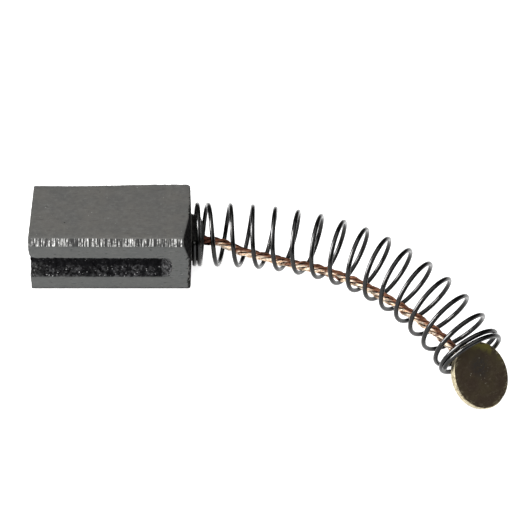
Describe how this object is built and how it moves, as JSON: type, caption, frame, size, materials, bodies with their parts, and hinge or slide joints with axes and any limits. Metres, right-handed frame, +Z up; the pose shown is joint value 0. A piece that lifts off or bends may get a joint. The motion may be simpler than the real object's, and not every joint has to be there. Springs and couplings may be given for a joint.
{
  "type": "carbon brush",
  "caption": "Carbon motor brush: grooved carbon block with a bent coil spring, a stranded copper shunt inside the spring and a small brass terminal disc.",
  "frame": {"origin": "centre of the carbon block's underside, on which the brush lies", "axes": "+X along the block from its contact end to its spring end, +Y away from the grooved side, +Z up"},
  "size_m": [0.0402, 0.0222, 0.0072],
  "materials": {
    "carbon": "satin",
    "spring_steel": "dark drawn wire",
    "copper": "stranded, lightly oxidised",
    "tarnished_brass": "tarnished, polished rim",
    "solder": "dull tin"
  },
  "bodies": {
    "root": {"carbon_block": "carbon", "spring": "spring_steel", "shunt": "copper", "terminal_disc": "tarnished_brass", "solder_joint": "solder"}
  },
  "joints": []
}
